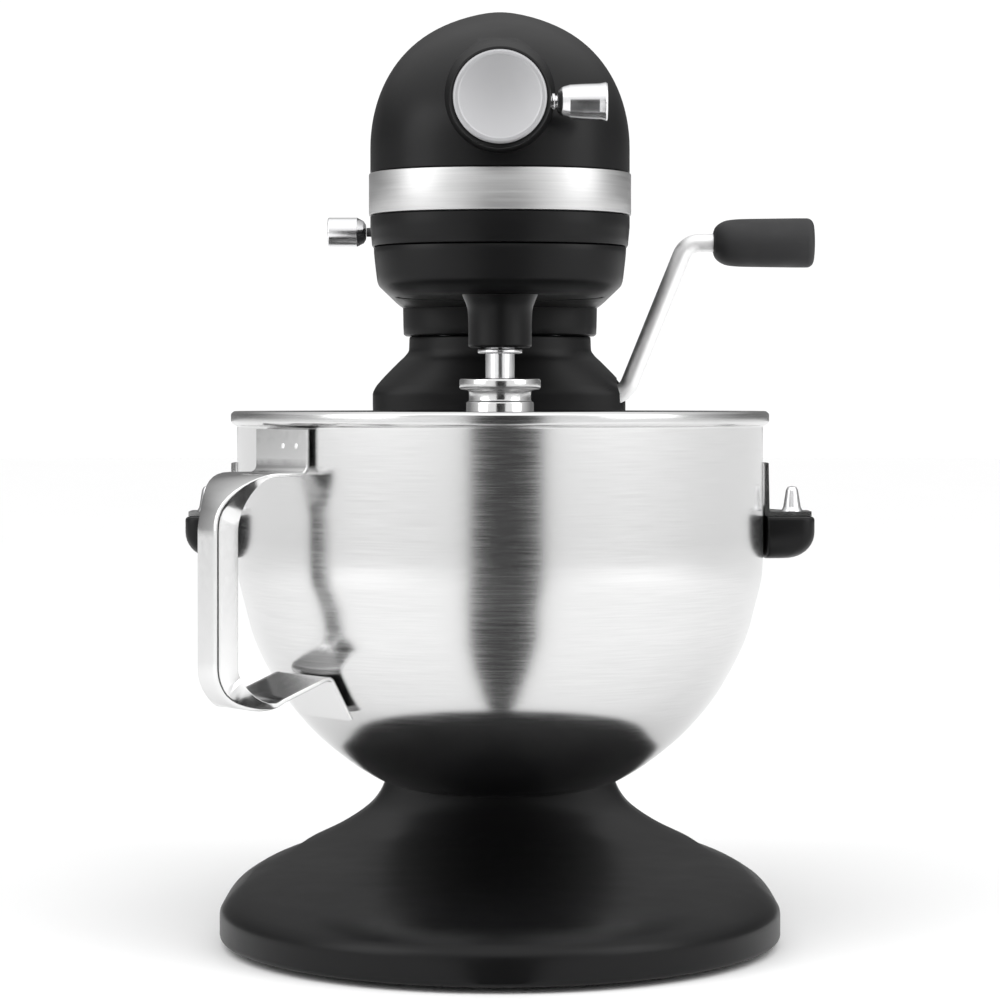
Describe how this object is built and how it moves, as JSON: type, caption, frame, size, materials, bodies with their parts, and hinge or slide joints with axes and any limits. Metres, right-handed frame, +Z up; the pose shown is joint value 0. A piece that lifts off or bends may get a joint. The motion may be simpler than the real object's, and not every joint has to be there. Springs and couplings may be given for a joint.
{
  "type": "stand mixer",
  "caption": "Bowl-lift stand mixer: arched black head on a column and wide base, steel bowl held by a yoke, lift lever and planetary whip.",
  "frame": {"origin": "centre of the bounding box, on the surface the mixer stands on", "axes": "+Z up, -Y towards the nose of the head, +X towards the bowl lift lever"},
  "size_m": [0.2957, 0.3716, 0.419],
  "materials": {
    "black_paint": "satin",
    "black_rubber": "matte",
    "black_plastic": "matte",
    "brushed_band": "brushed",
    "satin_cap": "satin",
    "chrome": "polished",
    "bowl_steel": "brushed",
    "gear_steel": "machined",
    "cast_aluminium": "cast",
    "bronze": "machined",
    "copper_winding": "enamelled",
    "circuit_board": "satin"
  },
  "bodies": {
    "stand": {"pedestal": "black_paint", "foot_front": "black_rubber", "foot_left": "black_rubber", "foot_right": "black_rubber", "foot_rear_left": "black_rubber", "foot_rear_right": "black_rubber", "cord_grommet": "black_rubber", "head_housing": "black_paint", "trim_band": "brushed_band", "rear_cover": "black_paint", "rear_cover_screw": "gear_steel", "lower_gearcase": "black_paint", "head_bolt_1": "gear_steel", "head_bolt_2": "gear_steel", "head_bolt_3": "gear_steel", "head_bolt_4": "gear_steel", "gearcase_deck": "cast_aluminium", "ring_gear": "gear_steel", "hub_sleeve": "gear_steel", "motor_stator": "copper_winding", "front_motor_bracket": "cast_aluminium", "rear_motor_bracket": "cast_aluminium", "speed_board": "circuit_board", "lever_bush": "black_plastic"},
    "planetary": {"planetary_carrier": "black_paint", "centre_shaft": "gear_steel", "centre_gear": "gear_steel"},
    "beater": {"beater_shaft": "chrome", "beater_pinion": "gear_steel", "whip_hub": "bowl_steel", "whip_wire_1": "bowl_steel", "whip_wire_2": "bowl_steel", "whip_wire_3": "bowl_steel", "whip_wire_4": "bowl_steel", "whip_wire_5": "bowl_steel"},
    "upright_shaft": {"drive_pinion": "gear_steel", "worm_wheel": "bronze"},
    "motor_shaft": {"armature": "cast_aluminium", "cooling_fan": "black_plastic", "worm": "gear_steel"},
    "hub_drive": {"hub_drive_gear": "gear_steel"},
    "hub_cover": {"hub_cap": "satin_cap"},
    "hub_knob": {"attachment_knob": "chrome"},
    "speed_control": {"speed_lever": "black_plastic", "speed_knob": "chrome"},
    "lift_handle": {"lever_rod": "chrome", "lever_grip": "black_rubber", "lever_end_cap": "black_plastic", "lever_crank": "cast_aluminium"},
    "bowl_support": {"bowl_yoke": "black_paint", "locating_pin_left": "chrome", "locating_pin_right": "chrome", "lift_carriage": "cast_aluminium", "bowl_clip": "gear_steel"},
    "mixing_bowl": {"bowl": "bowl_steel", "bowl_handle": "bowl_steel", "bowl_bracket_left": "bowl_steel", "bowl_bracket_right": "bowl_steel", "bowl_rear_pin": "bowl_steel"}
  },
  "joints": [
    {"name": "planetary_spin", "type": "hinge", "parent": "stand", "child": "planetary", "pos_m": [-0.0081, -0.0555, 0.29], "axis": [0, 0, 1], "continuous": true},
    {"name": "beater_spin", "type": "hinge", "parent": "planetary", "child": "beater", "pos_m": [-0.0081, -0.0855, 0.28], "axis": [0, 0, 1], "continuous": true},
    {"name": "upright_spin", "type": "hinge", "parent": "stand", "child": "upright_shaft", "pos_m": [0.0169, -0.0145, 0.33], "axis": [0, 0, 1], "continuous": true},
    {"name": "motor_spin", "type": "hinge", "parent": "stand", "child": "motor_shaft", "pos_m": [-0.0081, 0.0445, 0.345], "axis": [0, 1, 0], "continuous": true},
    {"name": "hub_drive_spin", "type": "hinge", "parent": "stand", "child": "hub_drive", "pos_m": [-0.0081, -0.1005, 0.368], "axis": [0, 1, 0], "continuous": true},
    {"name": "hub_cap_pull", "type": "slide", "parent": "stand", "child": "hub_cover", "axis": [0, -1, 0], "range_m": [0, 0.03]},
    {"name": "attachment_knob_turn", "type": "hinge", "parent": "stand", "child": "hub_knob", "pos_m": [0.0169, -0.1275, 0.367], "axis": [1, 0, 0], "continuous": true},
    {"name": "speed_slide", "type": "slide", "parent": "stand", "child": "speed_control", "axis": [0, -1, 0], "range_m": [0, 0.04]},
    {"name": "lift_lever_turn", "type": "hinge", "parent": "stand", "child": "lift_handle", "pos_m": [0.0319, 0.1095, 0.243], "axis": [-1, 0, 0], "range_deg": [0, 120]},
    {"name": "yoke_lower", "type": "slide", "parent": "stand", "child": "bowl_support", "axis": [0, 0, -1], "range_m": [0, 0.035]},
    {"name": "bowl_lift_off", "type": "slide", "parent": "bowl_support", "child": "mixing_bowl", "axis": [0, 0, 1], "range_m": [0, 0.014]}
  ],
  "couplings": [
    {"joint": "beater_spin", "follows": "planetary_spin", "ratio": -3.5},
    {"joint": "upright_spin", "follows": "planetary_spin", "ratio": -3.8},
    {"joint": "motor_spin", "follows": "planetary_spin", "ratio": 15.2},
    {"joint": "hub_drive_spin", "follows": "planetary_spin", "ratio": 1.3333},
    {"joint": "lift_lever_turn", "follows": "yoke_lower", "rad_per_m": 59.84}
  ]
}
